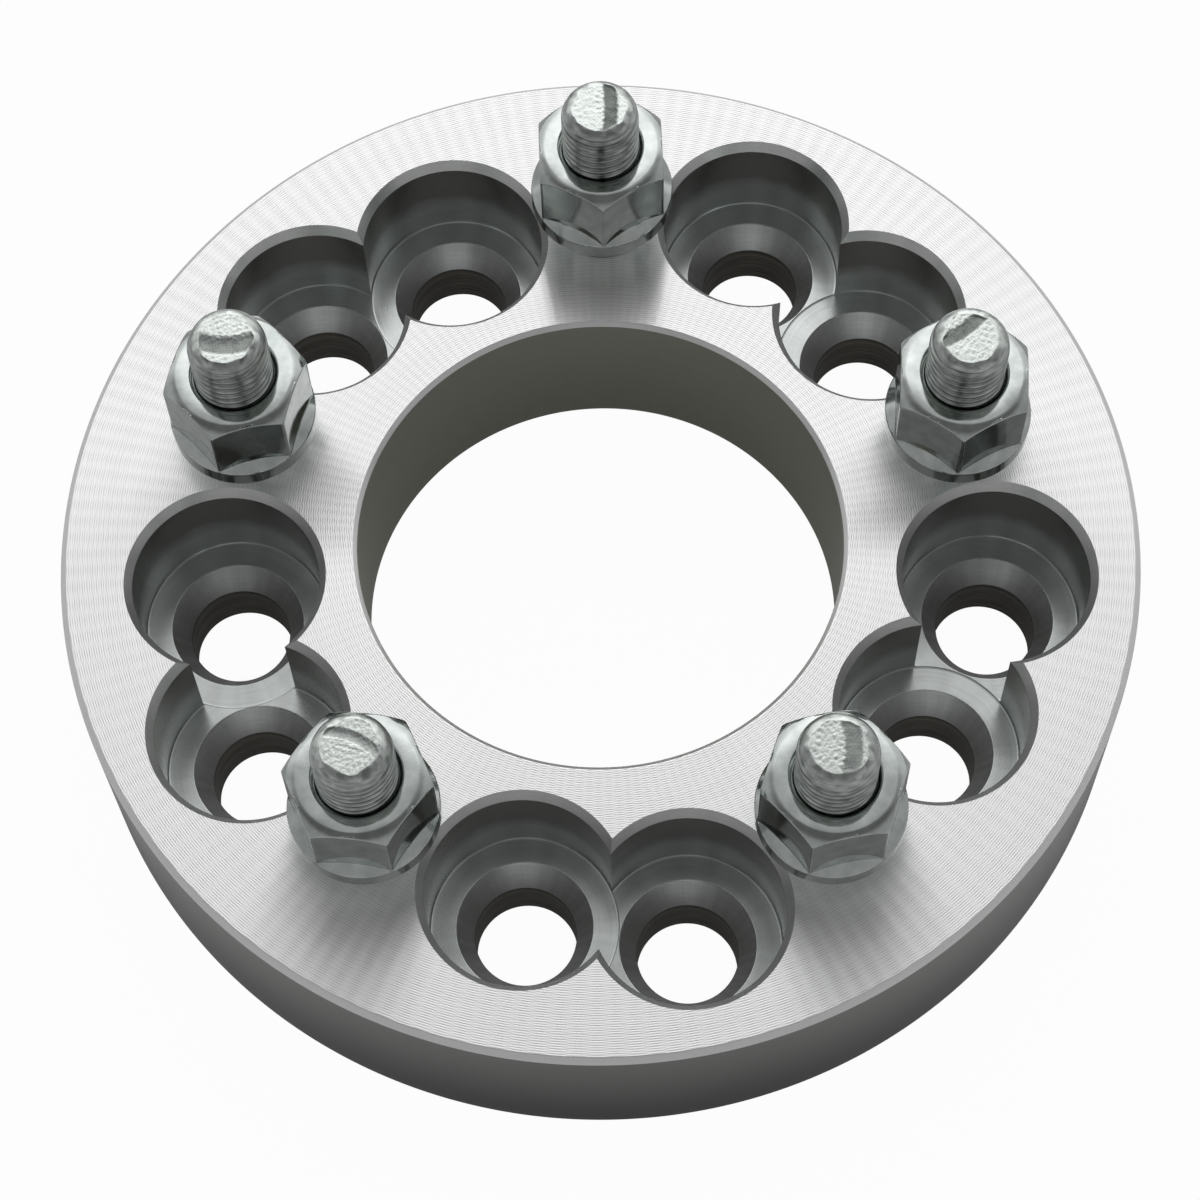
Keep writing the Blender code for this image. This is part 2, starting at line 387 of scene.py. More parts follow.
def lug_hole_path(depth):
    """Section of a lug hole's cutter, from its lower end on the axis to its upper end."""
    floor = THICKNESS - depth
    slope = COUNTERBORE_CHAMFER_WIDTH / COUNTERBORE_CHAMFER_DEPTH
    seat_foot = floor - (SEAT_RADIUS - LUG_HOLE_RADIUS) / math.tan(math.radians(SEAT_HALF_ANGLE))
    corners = np.array([
        (0.0, -OVERSHOOT),
        (LUG_HOLE_RADIUS + LUG_HOLE_CHAMFER + OVERSHOOT, -OVERSHOOT),
        (LUG_HOLE_RADIUS, LUG_HOLE_CHAMFER),
        (LUG_HOLE_RADIUS, seat_foot),
        (SEAT_RADIUS, floor),
        (COUNTERBORE_RADIUS, floor),
        (COUNTERBORE_RADIUS, THICKNESS - COUNTERBORE_CHAMFER_DEPTH),
        (COUNTERBORE_RADIUS + COUNTERBORE_CHAMFER_WIDTH + OVERSHOOT * slope, THICKNESS + OVERSHOOT),
        (0.0, THICKNESS + OVERSHOOT),
    ])
    cuts = [0, 0, EDGE_BREAK, EDGE_BREAK, EDGE_BREAK, COUNTERBORE_CORNER, EDGE_BREAK, 0, 0]
    return rounded(corners, cuts, closed=False)


def stud_hole_path():
    """Section of a stud hole's cutter: the head's recess in the hub face, and the bore of the knurl."""
    recess = HEAD_RADIUS + HEAD_CLEARANCE
    recess_top = HEAD_RECESS + HEAD_THICKNESS + SEAT_GAP
    bore = KNURL_RADIUS + SEAT_GAP
    corners = np.array([
        (0.0, -OVERSHOOT),
        (recess, -OVERSHOOT),
        (recess, recess_top),
        (bore, recess_top),
        (bore, THICKNESS + OVERSHOOT),
        (0.0, THICKNESS + OVERSHOOT),
    ])
    return rounded(corners, [0, 0, EDGE_BREAK, EDGE_BREAK, 0, 0], closed=False)


def cut_holes(body, cutters):
    """Takes the cutters' shapes out of the body for good, with their materials and UVs on the new walls."""
    group = bpy.data.collections.new("cutters")
    bpy.context.scene.collection.children.link(group)
    for cutter in cutters:
        bpy.context.scene.collection.objects.unlink(cutter)
        group.objects.link(cutter)
    step = body.modifiers.new("cut", "BOOLEAN")
    step.operation = "DIFFERENCE"
    step.operand_type = "COLLECTION"
    step.collection = group
    step.material_mode = "TRANSFER"
    bpy.context.view_layer.update()
    mesh = bpy.data.meshes.new_from_object(body.evaluated_get(bpy.context.evaluated_depsgraph_get()))
    body.modifiers.clear()
    body.data = mesh
    for cutter in cutters:
        bpy.data.objects.remove(cutter)
    bpy.data.collections.remove(group)


def middles(path, closed):
    """Radius and height of the middle of each stretch of a path."""
    ring = np.concatenate([path, path[:1]]) if closed else path
    return ((ring[:-1] + ring[1:]) / 2).T


def plate_finishes(path):
    """Material number of each row of faces: a level face, an upright wall, or else a slanting chamfer."""
    radius = middles(path, closed=True)[0]
    across, up = np.abs(np.roll(path, -1, axis=0) - path).T
    wall = np.where(radius > (RIM_RADIUS + BORE_RADIUS) / 2, FINISH_RIM, FINISH_BORE)
    rising = np.where(across < up / CHAMFER_LIMIT, wall, FINISH_CHAMFER)
    return np.where(up < across / CHAMFER_LIMIT, FINISH_FACE, rising)


def hole_finishes(path):
    """Material number of each row of a lug hole's faces: drilled hole, seat, counterbore or its edge."""
    radius, height = middles(path, closed=False)
    drilled = (radius < LUG_HOLE_RADIUS + EDGE_BREAK) | (height < LUG_HOLE_CHAMFER)
    edge = height > THICKNESS - COUNTERBORE_CHAMFER_DEPTH
    seat = radius < SEAT_RADIUS - EDGE_BREAK
    finishes = [FINISH_DRILLED, FINISH_HOLE_EDGE, FINISH_SEAT]
    return np.select([drilled, edge, seat], finishes, FINISH_COUNTERBORE)


def make_plate(materials):
    path = plate_path()
    mesh = surface_of_turning("turned_plate", path, even_angles(PLATE_COLUMNS), closed=True,
                              finishes=plate_finishes(path))
    clean(mesh)
    for material in materials:
        mesh.materials.append(material)
    plate = add_object("turned_plate", mesh)
    cutters = []
    patterns = (
        (STUD_CIRCLE_RADIUS, LUG_HOLE_ANGLE, lug_hole_path(COUNTERBORE_DEPTH), LUG_HOLE_COLUMNS),
        (WIDE_CIRCLE_RADIUS, WIDE_LUG_HOLE_ANGLE, lug_hole_path(WIDE_COUNTERBORE_DEPTH), LUG_HOLE_COLUMNS),
        (STUD_CIRCLE_RADIUS, 0.0, stud_hole_path(), STUD_HOLE_COLUMNS),
    )
    for radius, angle_from_stud, path, columns in patterns:
        for _, angle, centre in stations(radius, angle_from_stud):
            angles = even_angles(columns) + angle + CUTTER_TURN
            tool = surface_of_turning("hole", path, angles, closed=False, centre=centre,
                                      finishes=hole_finishes(path))
            clean(tool)
            for material in materials:
                tool.materials.append(material)
            cutters.append(add_object("hole_cutter", tool))
    cut_holes(plate, cutters)
    shade(plate.data)
    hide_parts("spacer_plate")
    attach(plate, "root")


# Nuts


def hexagon_angles(turn):
    """Angles round a nut: close together across each rounded corner and wide apart on the flats."""
    corner = math.radians(NUT_CORNER_REACH)
    flat_start = corner * NUT_FLAT_START
    side = np.concatenate([np.linspace(-corner, corner, NUT_CORNER_COLUMNS),
                           np.linspace(flat_start, math.radians(60) - flat_start, NUT_FLAT_COLUMNS)])
    return np.concatenate([side + math.radians(60 * index + turn) for index in range(6)])


def hexagon_radius(angles, turn):
    """Distance from the axis to a hexagon with rounded corners.

    On the flats it is h / cos(a), with a from the flat's middle. Within reach of a corner it is where the
    ray leaves the circle of the corner's radius c, whose centre is at (h - c) / cos 30 on the corner's line.
    """
    from_corner = (angles - math.radians(turn) + math.pi / 6) % (math.pi / 3) - math.pi / 6
    flat = NUT_HALF_FLATS / np.cos(np.abs(from_corner) - math.pi / 6)
    centre = (NUT_HALF_FLATS - NUT_CORNER_ROUND) / math.cos(math.pi / 6)
    reach = math.atan2(NUT_CORNER_ROUND * 0.5, centre + NUT_CORNER_ROUND * math.cos(math.pi / 6))
    inside = np.maximum(NUT_CORNER_ROUND ** 2 - (centre * np.sin(from_corner)) ** 2, 0.0)
    corner = centre * np.cos(from_corner) + np.sqrt(inside)
    return np.where(np.abs(from_corner) < reach, corner, flat)


def nut_path(angles, turn):
    """Closed section of a nut at each angle: seat cone, bulge, hexagon, sloping end face and bore.

    Each corner is a radius, a height and the length that its rounding takes. The end face falls away from
    its level ring by f s + b s^2, where s is the distance past that ring.
    """
    across = hexagon_radius(angles, turn)
    cone_top = BULGE_RADIUS - BULGE_EDGE
    cone_foot = cone_top - (BULGE_BOTTOM - SEAT_GAP) * NUT_CONE_SLOPE
    flat_foot = BULGE_TOP + BULGE_RADIUS - across
    fall, bend = NUT_FACE_FALL
    sloped = across - NUT_FACE_RADIUS
    face = []
    for share in NUT_FACE_SHARES:
        height = NUT_HEIGHT - fall * sloped * share - bend * (sloped * share) ** 2
        face.append((NUT_FACE_RADIUS + sloped * share, height, HEXAGON_EDGE if share == 1 else 0))
    corners = [
        (NUT_BORE_RADIUS + NUT_BORE_CHAMFER, SEAT_GAP, NUT_EDGE),
        (cone_foot, SEAT_GAP, NUT_EDGE),
        (cone_top, BULGE_BOTTOM, BULGE_ROUND),
        (BULGE_RADIUS, BULGE_BOTTOM + BULGE_EDGE, BULGE_ROUND),
        (BULGE_RADIUS, BULGE_TOP, BULGE_ROUND),
        (across, flat_foot, HEXAGON_EDGE),
        *face,
        (NUT_MOUTH_RADIUS, NUT_HEIGHT, NUT_EDGE),
        (NUT_BORE_RADIUS, NUT_HEIGHT - (NUT_MOUTH_RADIUS - NUT_BORE_RADIUS), NUT_EDGE),
        (NUT_BORE_RADIUS, SEAT_GAP + NUT_BORE_CHAMFER, NUT_EDGE),
    ]
    points = np.array([np.stack([radius + 0 * angles, height + 0 * angles], axis=-1)
                       for radius, height, cut in corners])
    return rounded(points, [cut for radius, height, cut in corners], closed=True)


def make_nut(number, centre, material):
    turn = NUT_TURNS[number - 1]
    angles = hexagon_angles(turn)
    name = f"plated_nut_{number}"
    mesh = surface_of_turning(name, nut_path(angles, turn), angles, closed=True,
                              centre=centre + np.array([0, 0, THICKNESS]))
    clean(mesh)
    mesh.materials.append(material)
    mesh.shade_smooth()
    nut = add_object(name, mesh)
    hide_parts(f"lug_nut_{number}")
    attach(nut, "root")


# Studs


def tip_radius(height):
    """Radius of the rounded taper at the stud's end, part of an ellipse, by the height above its foot."""
    end = math.radians(STUD_TIP_ARC)
    turn = np.arcsin(np.clip(height / STUD_TIP_HEIGHT, 0, 1) * math.sin(end))
    share = (np.cos(turn) - math.cos(end)) / (1 - math.cos(end))
    return STUD_TIP_RADIUS + (THREAD_RADIUS - STUD_TIP_RADIUS) * share


def eased(share):
    """Smooth step 3s^2 - 2s^3 of a share s, held between 0 and 1."""
    share = np.clip(share, 0, 1)
    return share * share * (3 - 2 * share)


def thread_wave(phase):
    """Depth of a rolled thread over one pitch: 0 on the crest, 1 in the root, with eased flanks."""
    crest, flank = THREAD_FLANK
    from_crest = np.abs((phase + 0.5) % 1.0 - 0.5) * 2
    return eased((from_crest - crest) / flank)


def crossed_waves(x, y, lengths, count, chance):
    """Sum of count sine waves of random length, direction and phase, each as high as it is long."""
    each = chance.uniform(*lengths, count)
    ways, phases = chance.uniform(0, math.tau, (2, count))
    along = x[..., None] * np.cos(ways) + y[..., None] * np.sin(ways)
    return (np.sin(along * math.tau / each + phases) * each).sum(axis=-1)


def ragged_edge(angles, number):
    """How far a stud's end falls short of its full radius at each angle."""
    chance = np.random.default_rng(number + 2 * COUNT)
    x, y = np.cos(angles) * STUD_TIP_RADIUS, np.sin(angles) * STUD_TIP_RADIUS
    wander = crossed_waves(x, y, END_RAGGED_LENGTHS, END_RAGGED_WAVES, chance)
    return END_RAGGED * np.clip(0.5 + wander / END_RAGGED_RANGE, 0, 1)


def forged_end(x, y, inward, number):
    """Height of a stud's end, from its highest point, and its tone from 0 (dull) to 1 (bright).

    The grain is a sum of crossed waves, dark in its crevices, under a finer speckle. The struck band is a
    shallow trough 1 - (t / w)^2 deep, where t is the distance from the band's line, which bows with the
    square of the way along it. inward is the distance from the end's edge, at which both fade out.
    """
    direction, offset, half_width, bow, depth, band_tone, grain_tone = END_BANDS[number - 1]
    chance = np.random.default_rng(number)
    grain = crossed_waves(x, y, END_GRAIN_LENGTHS, END_GRAIN_WAVES, chance) * END_GRAIN_SLOPE
    turn = math.radians(direction)
    way = x * math.cos(turn) + y * math.sin(turn)
    aside = y * math.cos(turn) - x * math.sin(turn) - offset - bow * way ** 2 + grain * END_EDGE_WANDER
    trough = np.clip(1 - (aside / half_width) ** 2, 0, None)
    struck = eased(trough * END_BAND_EDGE)
    height = (grain * (1 - END_BAND_POLISH * struck) - depth * trough) * np.clip(inward / END_FADE, 0, 1)
    shallow, deep = END_CREVICE
    crevice = np.clip(-grain / grain.std() - shallow, 0, deep) / deep
    at_edge, reach = END_CREVICE_AT_EDGE
    tone = grain_tone - END_CREVICE_SHARE * crevice * (at_edge - np.clip(inward, 0, reach))
    speckle = crossed_waves(x, y, END_SPECKLE_LENGTHS, END_GRAIN_WAVES, chance)
    speckle = END_SPECKLE_SHARE * (1 - END_BAND_CALM * struck) * speckle / speckle.std()
    return height - height.max(), tone + (band_tone - tone) * struck + speckle


def thread_tone(heights, angles, number):
    """Tone of a stud's thread: streaks along its rings, painted reflection as dark columns, and a bright
    ragged tip.
    """
    chance = np.random.default_rng(number + COUNT)
    rows = heights[:, None]
    x, y = np.cos(angles) * THREAD_RADIUS, np.sin(angles) * THREAD_RADIUS
    streaks = 0.0
    for way in (x, y):
        streaks = streaks + crossed_waves(rows + 0 * way, way / THREAD_STREAK_STRETCH + 0 * rows,
                                          THREAD_STREAK_LENGTHS, THREAD_STREAK_WAVES, chance)
    streaks = streaks / THREAD_STREAK_RANGE
    tone = TONE_THREAD + THREAD_STREAK_SHARE * streaks
    below_tip = np.clip((STUD_HIGH.z - rows) / PAINTED_REFLECTION_START - 1, 0, 1)
    middling, darkest = PAINTED_REFLECTION_BREAKS
    # Painted reflection: dark columns down the thread on the side towards the camera, for the dim room there
    for direction, half_width, share in PAINTED_THREAD_REFLECTIONS.get(number, ()):
        aside = (angles - math.radians(direction) + math.pi) % math.tau - math.pi
        column = np.exp(-(aside / math.radians(half_width)) ** 2)
        tone = tone - share * below_tip * column * np.clip(middling + streaks, 0, darkest)
    wander = crossed_waves(x, y, SPILL_LENGTHS, THREAD_STREAK_WAVES, chance) / SPILL_RANGE
    spill = np.clip((rows - (STUD_HIGH.z - SPILL_HEIGHT * (SPILL_MIDDLE + wander))) / SPILL_EDGE, 0, 1)
    return tone + (END_BANDS[number - 1][-1] - tone) * spill


def stud_path(angles, number):
    """Section of a stud at each angle, from the middle of its head to that of its end, and its tone."""
    head_top = HEAD_RECESS + HEAD_THICKNESS
    knurl_top = head_top + KNURL_LENGTH
    tip = STUD_HIGH.z
    head = np.array([
        (0.0, HEAD_RECESS),
        (HEAD_RADIUS - HEAD_CHAMFER, HEAD_RECESS),
        (HEAD_RADIUS, HEAD_RECESS + HEAD_CHAMFER),
        (HEAD_RADIUS, head_top),
        (KNURL_RADIUS + HEAD_NECK, head_top),
    ])
    head = rounded(head, [0, HEAD_EDGE, HEAD_EDGE, HEAD_EDGE, 0], closed=False)
    head = np.repeat(head[:, None], len(angles), axis=1)
    toothed = KNURL_RADIUS - KNURL_TOOTH * (0.5 - 0.5 * np.cos(angles * KNURL_TEETH))
    knurl = np.stack([np.stack([toothed, 0 * angles + z], axis=-1) for z in (head_top, knurl_top)])
    heights = np.arange(knurl_top + THREAD_RUN_IN, tip - THREAD_TIP_GAP, THREAD_PITCH / THREAD_ROWS)
    phase = heights[:, None] / THREAD_PITCH - angles[None] / math.tau
    screw = THREAD_RADIUS - THREAD_DEPTH * thread_wave(phase)
    ragged = ragged_edge(angles, number)
    near_end = np.clip((heights - tip) / END_RAGGED_HEIGHT + 1, 0, 1)[:, None]
    taper = tip_radius(heights - (tip - STUD_TIP_HEIGHT))[:, None] - ragged * near_end ** 2
    screw = np.minimum(screw, taper)
    thread = np.stack([screw, heights[:, None] + 0 * screw], axis=-1)
    edge = STUD_TIP_RADIUS - ragged
    radii = np.linspace(1, 0, END_RINGS)[:, None] * edge
    drop, end_tone = forged_end(radii * np.cos(angles), radii * np.sin(angles), edge - radii, number)
    end = np.stack([radii, tip + drop], axis=-1)
    shank = np.concatenate([head, knurl, thread])
    tone = np.full((len(head) + len(knurl), len(angles)), TONE_THREAD)
    tone = np.concatenate([tone, thread_tone(heights, angles, number), end_tone])
    return np.concatenate([shank, end]), tone


def make_stud(number, centre, material):
    angles = even_angles(STUD_COLUMNS)
    name = f"threaded_stud_{number}"
    path, tone = stud_path(angles, number)
    mesh = surface_of_turning(name, path, angles, closed=False, centre=centre)
    mesh.attributes.new("tone", "FLOAT", "POINT").data.foreach_set("value", tone.astype(np.float32).ravel())
    clean(mesh)
    mesh.materials.append(material)
    mesh.shade_smooth()
    mesh.set_sharp_from_angle(angle=STUD_SMOOTH_ANGLE)
    stud = add_object(name, mesh)
    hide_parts(f"wheel_stud_{number}")
    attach(stud, "root")


# Materials


def node(tree, kind, inputs=None, **settings):
    """New shader node. Each input takes a value or another node's output."""
    made = tree.nodes.new(kind)
    for key, value in settings.items():
        setattr(made, key, value)
    for key, value in (inputs or {}).items():
        if isinstance(value, bpy.types.NodeSocket):
            tree.links.new(value, made.inputs[key])
        else:
            made.inputs[key].default_value = value
    return made


def maths(tree, operation, first, second=0.0):
    return node(tree, "ShaderNodeMath", {0: first, 1: second}, operation=operation).outputs[0]


def smooth_step(tree, value, low, high, start, end):
    """Smooth change from start to end while value goes from low to high."""
    return node(tree, "ShaderNodeMapRange", {
        "Value": value, "From Min": low, "From Max": high, "To Min": start, "To Max": end},
        interpolation_type="SMOOTHSTEP").outputs[0]


def new_group(name, inputs, outputs):
    """Empty shader node group with float sockets, with its two ends."""
    tree = bpy.data.node_groups.new(name, "ShaderNodeTree")
    for key, value in inputs.items():
        tree.interface.new_socket(key, in_out="INPUT", socket_type="NodeSocketFloat").default_value = value
    for key in outputs:
        tree.interface.new_socket(key, in_out="OUTPUT", socket_type="NodeSocketFloat")
    return tree, tree.nodes.new("NodeGroupInput").outputs, tree.nodes.new("NodeGroupOutput").inputs


def turning_marks_group():
    """Marks of a lathe tool.

    Lines swings from -1 to 1: over each pitch as rings, and over half of it along two spirals that cross.
    Drift wanders from 0 to 1 from one ring to the next and slowly round each of them. Sweep wanders round
    the turn alone, as broad soft streaks.
    """
    tree, given, wanted = new_group("turning_marks", {"Pitch": 0.64, "Ring": 0.5, "Reach": 1.0},
                                    ["Lines", "Drift", "Sweep"])
    lay = node(tree, "ShaderNodeUVMap", uv_map="lay").outputs[0]
    split = node(tree, "ShaderNodeSeparateXYZ", {0: lay}).outputs
    turns = maths(tree, "DIVIDE", split["X"], given["Pitch"])
    coarse = maths(tree, "SINE", maths(tree, "MULTIPLY", turns, math.tau))
    lines = maths(tree, "MULTIPLY", coarse, RING_SHARE)
    for threads in (-SPIRAL_THREADS, SPIRAL_THREADS):
        slant = maths(tree, "MULTIPLY", split["Y"], threads)
        along = maths(tree, "ADD", maths(tree, "MULTIPLY", turns, 2.0), slant)
        fine = maths(tree, "SINE", maths(tree, "MULTIPLY", along, math.tau))
        lines = maths(tree, "ADD", lines, maths(tree, "MULTIPLY", fine, SPIRAL_SHARE))
    tree.links.new(lines, wanted["Lines"])
    angle = maths(tree, "MULTIPLY", split["Y"], math.tau)
    east = maths(tree, "MULTIPLY", maths(tree, "COSINE", angle), given["Reach"])
    north = maths(tree, "MULTIPLY", maths(tree, "SINE", angle), given["Reach"])
    for output, height, reach in (("Drift", maths(tree, "DIVIDE", split["X"], given["Ring"]), 1.0),
                                  ("Sweep", 0.0, SWEEP_REACH)):
        place = node(tree, "ShaderNodeCombineXYZ", {
            "X": maths(tree, "MULTIPLY", east, reach),
            "Y": maths(tree, "MULTIPLY", north, reach),
            "Z": height})
        wander = node(tree, "ShaderNodeTexNoise", {
            "Vector": place.outputs[0], "Scale": 1.0, "Detail": DRIFT_DETAIL, "Roughness": DRIFT_ROUGHNESS})
        tree.links.new(wander.outputs["Fac"], wanted[output])
    return tree


def mottle_group():
    """Cloudy unevenness from 0 to 1 in Clouds and fine grain in Grain, on Object coordinates in metres."""
    tree, given, wanted = new_group("mottle", {"Cloud size": 3.0, "Grain size": 0.3}, ["Clouds", "Grain"])
    place = node(tree, "ShaderNodeTexCoord").outputs["Object"]
    for size, output, detail in (("Cloud size", "Clouds", 2.0), ("Grain size", "Grain", 3.0)):
        scale = maths(tree, "DIVIDE", 1 / MM, given[size])
        noise = node(tree, "ShaderNodeTexNoise", {"Vector": place, "Scale": scale, "Detail": detail})
        tree.links.new(noise.outputs["Fac"], wanted[output])
    return tree


def mix_colours(tree, factor, first, second):
    mix = node(tree, "ShaderNodeMix", data_type="RGBA")
    for socket, value in zip((mix.inputs[0], mix.inputs[6], mix.inputs[7]), (factor, first, second)):
        if isinstance(value, bpy.types.NodeSocket):
            tree.links.new(value, socket)
        else:
            socket.default_value = value if isinstance(value, float) else (*value, 1.0)
    return mix.outputs[2]


def new_metal(name, roughness, anisotropic=0.0, metallic=1.0):
    """Metallic material, with plain numbers set on its shader. Anisotropic gloss spreads across the lay."""
    made = bpy.data.materials.new(name)
    made.use_nodes = True
    tree = made.node_tree
    shader = tree.nodes["Principled BSDF"]
    shader.inputs["Roughness"].default_value = roughness
    shader.inputs["Metallic"].default_value = metallic
    shader.inputs["Anisotropic"].default_value = anisotropic
    if anisotropic:
        tangent = node(tree, "ShaderNodeTangent", direction_type="UV_MAP", uv_map="lay")
        tree.links.new(tangent.outputs[0], shader.inputs["Tangent"])
    return made, tree, shader.inputs


def turned_metal(name, marks, dark, light, roughness, anisotropic, pitch, ring, reach, lines, drift, sweep,
                 relief, metallic=1.0, painted_shade_heights=None, start=0.5):
    """Turned finish.

    Its colour lies between dark and light: at start, moved by the shares of the tool's lines, of the drift
    from ring to ring and of the sweep round the turn. relief is the height of its ridges in millimetres. A
    painted shade, when asked for, is two heights and a share: the colour darkens by the share from the first
    height to the second.
    """
    made, tree, shader = new_metal(name, roughness, anisotropic, metallic)
    tool = node(tree, "ShaderNodeGroup", node_tree=marks)
    for key, value in (("Pitch", pitch), ("Ring", ring), ("Reach", reach)):
        tool.inputs[key].default_value = value
    level = start
    for output, share, middle in (("Lines", lines, 0.0), ("Drift", drift, 0.5), ("Sweep", sweep, 0.5)):
        swing = maths(tree, "MULTIPLY", maths(tree, "SUBTRACT", tool.outputs[output], middle), share)
        level = maths(tree, "ADD", swing, level)
    bump = node(tree, "ShaderNodeBump", {"Height": level, "Distance": relief * MM, "Strength": 1.0})
    tree.links.new(bump.outputs[0], shader["Normal"])
    # Painted shade: the colour darkens by the share as the height goes from the first given height to the
    # second
    if painted_shade_heights:
        low, high, share = painted_shade_heights
        place = node(tree, "ShaderNodeTexCoord").outputs["Object"]
        height = node(tree, "ShaderNodeSeparateXYZ", {0: place}).outputs["Z"]
        level = maths(tree, "ADD", level, smooth_step(tree, height, low * MM, high * MM, 0.0, -share))
    level.node.use_clamp = True
    tree.links.new(mix_colours(tree, level, dark, light), shader["Base Color"])
    return made


def plated_metal(name, mottle, dark, light, roughness, cloud, grain, relief, tone=None):
    """Plated finish with a fine uneven skin.

    Its colour drifts from dark to light over clouds, or by a tone that the mesh holds and clouds disturb.
    """
    made, tree, shader = new_metal(name, roughness)
    skin = node(tree, "ShaderNodeGroup", node_tree=mottle)
    skin.inputs["Cloud size"].default_value = cloud
    skin.inputs["Grain size"].default_value = grain
    level = skin.outputs["Clouds"]
    if tone:
        held = node(tree, "ShaderNodeAttribute", attribute_name=tone).outputs["Fac"]
        swing = maths(tree, "MULTIPLY", maths(tree, "SUBTRACT", level, 0.5), CLOUD_TONE)
        level = maths(tree, "ADD", held, swing)
        level.node.use_clamp = True
    tree.links.new(mix_colours(tree, level, dark, light), shader["Base Color"])
    clouds = maths(tree, "MULTIPLY", skin.outputs["Clouds"], CLOUD_RELIEF)
    height = maths(tree, "ADD", clouds, skin.outputs["Grain"])
    bump = node(tree, "ShaderNodeBump", {"Height": height, "Distance": relief * MM, "Strength": 1.0})
    tree.links.new(bump.outputs[0], shader["Normal"])
    return made


# Stage


def make_camera():
    """Camera turned about Z, tilted down to its elevation, set back along its own axes and rolled."""
    tilt = Matrix.Rotation(math.radians(CAMERA_TURN), 4, "Z") @ Matrix.Rotation(
        math.radians(90 - CAMERA_ELEVATION), 4, "X")
    back = Matrix.Translation(Vector(CAMERA_OFFSET) * MM)
    roll = Matrix.Rotation(math.radians(CAMERA_ROLL), 4, "Z")
    data = bpy.data.cameras.new("camera")
    data.lens = CAMERA_LENS
    data.sensor_width = CAMERA_SENSOR
    data.shift_x, data.shift_y = CAMERA_SHIFT
    data.clip_start = 0.01
    data.clip_end = 50.0
    camera = bpy.data.objects.new("camera", data)
    camera.matrix_world = Matrix.Translation((0, 0, THICKNESS * MM)) @ tilt @ back @ roll
    bpy.context.scene.collection.objects.link(camera)
    bpy.context.scene.camera = camera


def make_floor():
    """Pale floor: white to the camera with a trace of its shadow, and nearly its own colour in the metal.

    From below it isn't there, neither for the camera nor for the light that then falls on the hub face.
    """
    mesh = bpy.data.meshes.new("floor")
    half = FLOOR_SIZE / 2
    low = -FLOOR_DROP * MM
    corners = [(-half, -half, low), (half, -half, low), (half, half, low), (-half, half, low)]
    mesh.from_pydata(corners, [], [(0, 1, 2, 3)])
    floor = add_object("floor", mesh)
    made = bpy.data.materials.new("pale_floor")
    made.use_nodes = True
    tree = made.node_tree
    tree.nodes.clear()
    ray = node(tree, "ShaderNodeLightPath").outputs
    other = maths(tree, "MAXIMUM", ray["Is Glossy Ray"], ray["Is Transmission Ray"])
    share = maths(tree, "MAXIMUM", maths(tree, "MULTIPLY", ray["Is Camera Ray"], FLOOR_GLOW),
                  maths(tree, "MULTIPLY", other, FLOOR_GLOW_IN_METAL))
    paint = node(tree, "ShaderNodeBsdfDiffuse", {"Color": (*FLOOR_COLOUR, 1.0)})
    glow = node(tree, "ShaderNodeEmission")
    mix = node(tree, "ShaderNodeMixShader", {0: share, 1: paint.outputs[0], 2: glow.outputs[0]})
    below = maths(tree, "MAXIMUM", node(tree, "ShaderNodeNewGeometry").outputs["Backfacing"],
                  maths(tree, "GREATER_THAN", ray["Transparent Depth"], 0.5))
    clear = node(tree, "ShaderNodeBsdfTransparent")
    seen = node(tree, "ShaderNodeMixShader", {0: below, 1: mix.outputs[0], 2: clear.outputs[0]})
    node(tree, "ShaderNodeOutputMaterial", {"Surface": seen.outputs[0]})
    mesh.materials.append(made)


def make_world():
    """Soft studio light: a bright tent behind, a dimmer room on the camera's side, and a white backdrop."""
    world = bpy.data.worlds.new("studio")
    world.use_nodes = True
    tree = world.node_tree
    bpy.context.scene.world = world
    sky = node(tree, "ShaderNodeTexCoord").outputs["Generated"]
    way = node(tree, "ShaderNodeSeparateXYZ", {0: sky}).outputs
    aside = maths(tree, "ABSOLUTE", way["X"])
    side = smooth_step(tree, aside, *TENT_SIDE, TENT_LEVEL, TENT_LEVEL * TENT_SIDE_LEVEL)
    tent = maths(tree, "MULTIPLY", side, smooth_step(tree, way["Z"], *TENT_LOW, TENT_HORIZON, 1.0))
    room = smooth_step(tree, way["Z"], *ROOM_LOW, ROOM_HORIZON, ROOM_ABOVE)
    skirt = smooth_step(tree, way["Y"], *TENT_SKIRT, 0.0, TENT_SKIRT_SHARE)
    share = maths(tree, "ADD", skirt, smooth_step(tree, way["Y"], *TENT_EDGE, 0.0, 1 - TENT_SKIRT_SHARE))
    level = maths(tree, "ADD", maths(tree, "MULTIPLY", share, maths(tree, "SUBTRACT", tent, room)), room)
    level = maths(tree, "MULTIPLY", level, smooth_step(tree, way["Z"], *HORIZON, LIGHT_BELOW, 1.0))
    level = maths(tree, "MAXIMUM", level, node(tree, "ShaderNodeLightPath").outputs["Is Camera Ray"])
    tree.links.new(level, tree.nodes["Background"].inputs["Color"])


bpy.context.scene.view_settings.view_transform = "Standard"
make_camera()
make_world()
make_floor()

turning_marks = turning_marks_group()
mottle = mottle_group()

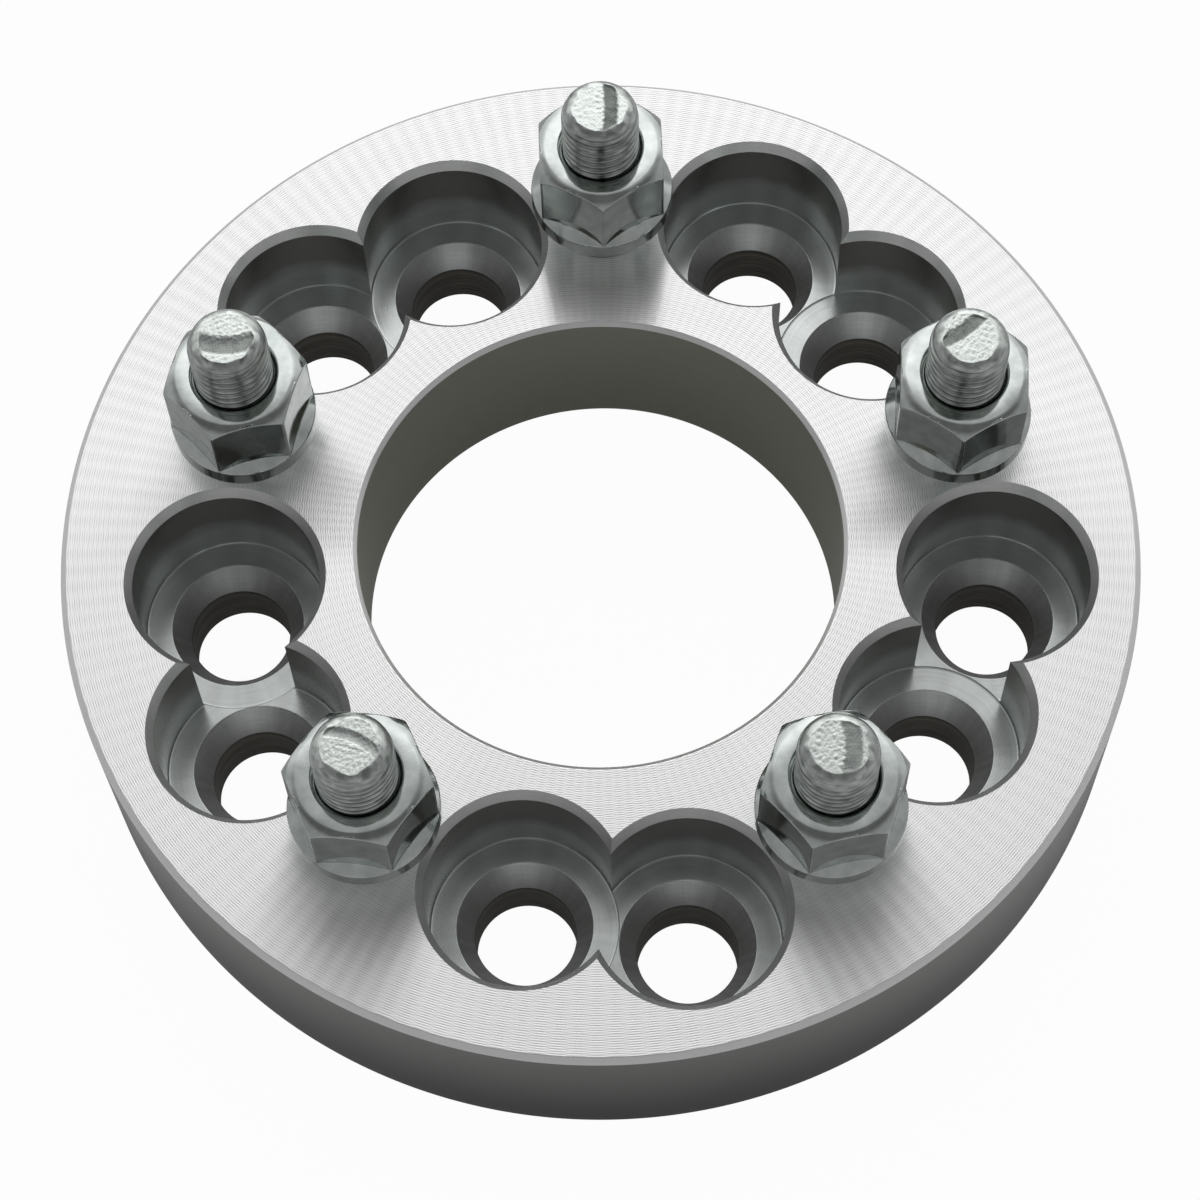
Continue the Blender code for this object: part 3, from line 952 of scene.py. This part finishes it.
# Finishes of the plate, in the order of their numbers
plate_metals = [
    turned_metal("fine_turned_face", turning_marks, (0.72, 0.72, 0.72), (1.0, 1.0, 1.0),
                 roughness=0.3, anisotropic=0.95, pitch=0.72, ring=0.8, reach=0.3,
                 lines=0.8, drift=0.4, sweep=0.0, relief=0.016, start=0.72),
    # Painted shade: the rim's colour darkens towards the hub face, for the floor's shadow seen in it
    turned_metal("satin_rim_with_painted_shade", turning_marks, (0.09, 0.094, 0.09), (0.64, 0.645, 0.62),
                 roughness=0.2, anisotropic=0.4, pitch=0.3, ring=0.5, reach=3.0,
                 lines=0.04, drift=0.12, sweep=0.05, relief=0.003, painted_shade_heights=(32.0, -4.0, 0.55)),
    turned_metal("smooth_bore", turning_marks, (0.36, 0.36, 0.31), (0.48, 0.48, 0.42),
                 roughness=0.36, anisotropic=0.3, pitch=0.3, ring=0.5, reach=2.0,
                 lines=0.1, drift=0.4, sweep=0.2, relief=0.001),
    turned_metal("bright_chamfer", turning_marks, (0.8, 0.8, 0.8), (1.0, 1.0, 1.0),
                 roughness=0.32, anisotropic=0.5, pitch=0.2, ring=0.4, reach=2.0,
                 lines=0.1, drift=0.5, sweep=0.3, relief=0.001),
    turned_metal("dull_chamfer", turning_marks, (0.6, 0.61, 0.6), (0.85, 0.86, 0.85),
                 roughness=0.3, anisotropic=0.4, pitch=0.2, ring=0.4, reach=3.0,
                 lines=0.1, drift=0.6, sweep=0.6, relief=0.001, metallic=0.85),
    # Painted reflection: each counterbore's wall darkens towards its top, for a dark reflection there
    turned_metal("bored_counterbore_with_painted_reflection", turning_marks, (0.28, 0.28, 0.265), (0.9, 0.955, 0.955),
                 roughness=0.24, anisotropic=0.5, pitch=0.36, ring=0.5, reach=1.2,
                 lines=0.06, drift=0.25, sweep=0.45, relief=0.0012, metallic=0.85, painted_shade_heights=(17.0, 24.0, 0.65)),
    turned_metal("bored_seat", turning_marks, (0.6, 0.61, 0.61), (0.95, 0.96, 0.96),
                 roughness=0.32, anisotropic=0.5, pitch=0.2, ring=0.4, reach=2.4,
                 lines=0.12, drift=0.6, sweep=1.2, relief=0.0006, metallic=0.8),
    turned_metal("rough_drilled_hole", turning_marks, (0.05, 0.045, 0.04), (0.35, 0.335, 0.3),
                 roughness=0.38, anisotropic=0.5, pitch=0.5, ring=0.4, reach=0.6,
                 lines=0.35, drift=1.6, sweep=0.2, relief=0.01),
]
zinc = plated_metal("bright_zinc", mottle, (0.33, 0.37, 0.357), (0.72, 0.75, 0.73),
                    roughness=0.09, cloud=2.5, grain=0.45, relief=0.0022)
steel = plated_metal("rolled_thread", mottle, (0.1, 0.108, 0.102), (0.9, 0.95, 0.92),
                     roughness=0.32, cloud=1.5, grain=0.22, relief=0.014, tone="tone")
make_plate(plate_metals)
for number, _, centre in stations(STUD_CIRCLE_RADIUS, 0.0):
    make_stud(number, centre, steel)
    make_nut(number, centre, zinc)
